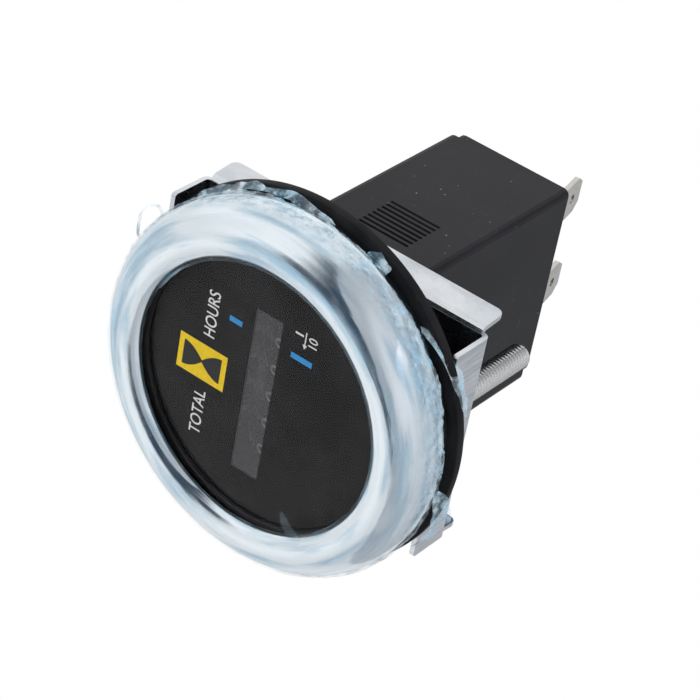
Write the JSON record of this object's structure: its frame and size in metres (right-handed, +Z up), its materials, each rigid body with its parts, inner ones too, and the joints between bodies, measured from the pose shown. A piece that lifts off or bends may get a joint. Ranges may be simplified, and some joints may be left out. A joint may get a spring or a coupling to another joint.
{
  "type": "hour meter",
  "caption": "Panel hour meter with a chromed round bezel under torn blue film, black dial and number wheels, rectangular black housing, clamp bracket and two spade terminals.",
  "frame": {"origin": "centre of the gasket's rear face, where the meter seats on a panel", "axes": "+X right along the dial's words, +Y back through the panel, +Z up the dial"},
  "size_m": [0.0602, 0.0735, 0.0602],
  "materials": {
    "polished_chrome": "polished",
    "blue_film": "translucent film, torn",
    "clear_lens": "clear",
    "black_plastic": "moulded satin",
    "dial_black": "matte printed",
    "grey_spacer": "moulded satin",
    "gasket_rubber": "matte",
    "zinc_plate": "bright zinc plated",
    "plated_steel": "plated",
    "tinned_brass": "tin plated",
    "wheel_black": "moulded satin",
    "white_gear_plastic": "moulded",
    "copper_winding": "enamelled copper wire",
    "board_green": "solder mask"
  },
  "bodies": {
    "meter": {"bezel": "polished_chrome", "protective_film": "blue_film", "lens": "clear_lens", "lens_spacer_ring": "grey_spacer", "dial_plate": "dial_black", "gasket": "gasket_rubber", "case": "black_plastic", "rear_cover": "black_plastic", "terminal_1": "tinned_brass", "terminal_2": "tinned_brass", "stud_upper": "plated_steel", "stud_lower": "plated_steel", "wheel_shaft": "plated_steel", "pinion_shaft": "plated_steel", "stator": "plated_steel", "coil_bobbin": "white_gear_plastic", "coil_winding": "copper_winding", "movement_frame": "zinc_plate", "circuit_board": "board_green", "control_chip": "black_plastic", "capacitor": "plated_steel", "timing_crystal": "tinned_brass"},
    "clamp": {"bracket": "zinc_plate", "lock_washer_upper": "zinc_plate", "nut_upper": "zinc_plate", "lock_washer_lower": "zinc_plate", "nut_lower": "zinc_plate"},
    "wheel_1": {"number_wheel_1": "wheel_black"},
    "wheel_2": {"number_wheel_2": "wheel_black"},
    "wheel_3": {"number_wheel_3": "wheel_black"},
    "wheel_4": {"number_wheel_4": "wheel_black"},
    "wheel_5": {"number_wheel_5": "wheel_black"},
    "wheel_6": {"number_wheel_6": "wheel_black"},
    "pinion_1": {"transfer_pinion_1": "white_gear_plastic"},
    "pinion_2": {"transfer_pinion_2": "white_gear_plastic"},
    "pinion_3": {"transfer_pinion_3": "white_gear_plastic"},
    "pinion_4": {"transfer_pinion_4": "white_gear_plastic"},
    "pinion_5": {"transfer_pinion_5": "white_gear_plastic"},
    "idler": {"idler_gear": "white_gear_plastic"},
    "reduction": {"reduction_gear": "white_gear_plastic"},
    "rotor": {"rotor": "plated_steel"}
  },
  "joints": [
    {"name": "clamp_slide", "type": "slide", "parent": "meter", "child": "clamp", "axis": [0, 1, 0], "range_m": [0, 0.014]},
    {"name": "wheel_1_turn", "type": "hinge", "parent": "meter", "child": "wheel_1", "pos_m": [0.01065, 0.0014, 0.0014], "axis": [1, 0, 0], "continuous": true},
    {"name": "wheel_2_turn", "type": "hinge", "parent": "meter", "child": "wheel_2", "pos_m": [0.00575, 0.0014, 0.0014], "axis": [1, 0, 0], "continuous": true},
    {"name": "wheel_3_turn", "type": "hinge", "parent": "meter", "child": "wheel_3", "pos_m": [0.00085, 0.0014, 0.0014], "axis": [1, 0, 0], "continuous": true},
    {"name": "wheel_4_turn", "type": "hinge", "parent": "meter", "child": "wheel_4", "pos_m": [-0.00405, 0.0014, 0.0014], "axis": [1, 0, 0], "continuous": true},
    {"name": "wheel_5_turn", "type": "hinge", "parent": "meter", "child": "wheel_5", "pos_m": [-0.00895, 0.0014, 0.0014], "axis": [1, 0, 0], "continuous": true},
    {"name": "wheel_6_turn", "type": "hinge", "parent": "meter", "child": "wheel_6", "pos_m": [-0.01385, 0.0014, 0.0014], "axis": [1, 0, 0], "continuous": true},
    {"name": "pinion_1_turn", "type": "hinge", "parent": "meter", "child": "pinion_1", "pos_m": [0.0082, 0.0014, 0.00782], "axis": [1, 0, 0], "continuous": true},
    {"name": "pinion_2_turn", "type": "hinge", "parent": "meter", "child": "pinion_2", "pos_m": [0.0033, 0.0014, 0.00782], "axis": [1, 0, 0], "continuous": true},
    {"name": "pinion_3_turn", "type": "hinge", "parent": "meter", "child": "pinion_3", "pos_m": [-0.0016, 0.0014, 0.00782], "axis": [1, 0, 0], "continuous": true},
    {"name": "pinion_4_turn", "type": "hinge", "parent": "meter", "child": "pinion_4", "pos_m": [-0.0065, 0.0014, 0.00782], "axis": [1, 0, 0], "continuous": true},
    {"name": "pinion_5_turn", "type": "hinge", "parent": "meter", "child": "pinion_5", "pos_m": [-0.0114, 0.0014, 0.00782], "axis": [1, 0, 0], "continuous": true},
    {"name": "idler_turn", "type": "hinge", "parent": "meter", "child": "idler", "pos_m": [-0.0016, 0.01032, 0.0014], "axis": [1, 0, 0], "continuous": true},
    {"name": "reduction_turn", "type": "hinge", "parent": "meter", "child": "reduction", "pos_m": [-0.0016, 0.01604, 0.0014], "axis": [1, 0, 0], "continuous": true},
    {"name": "rotor_turn", "type": "hinge", "parent": "meter", "child": "rotor", "pos_m": [-0.0016, 0.02336, 0.0014], "axis": [1, 0, 0], "continuous": true}
  ],
  "couplings": [
    {"joint": "wheel_2_turn", "follows": "wheel_1_turn", "ratio": 0.1},
    {"joint": "wheel_3_turn", "follows": "wheel_1_turn", "ratio": 0.01},
    {"joint": "wheel_4_turn", "follows": "wheel_1_turn", "ratio": 0.001},
    {"joint": "wheel_5_turn", "follows": "wheel_1_turn", "ratio": 0.0001},
    {"joint": "wheel_6_turn", "follows": "wheel_1_turn", "ratio": 0.00001},
    {"joint": "pinion_1_turn", "follows": "wheel_1_turn", "ratio": -0.25},
    {"joint": "pinion_2_turn", "follows": "wheel_1_turn", "ratio": -0.025},
    {"joint": "pinion_3_turn", "follows": "wheel_1_turn", "ratio": -0.0025},
    {"joint": "pinion_4_turn", "follows": "wheel_1_turn", "ratio": -0.00025},
    {"joint": "pinion_5_turn", "follows": "wheel_1_turn", "ratio": -0.000025},
    {"joint": "idler_turn", "follows": "wheel_1_turn", "ratio": -1.2},
    {"joint": "reduction_turn", "follows": "wheel_1_turn", "ratio": 3},
    {"joint": "rotor_turn", "follows": "wheel_1_turn", "ratio": -15}
  ]
}
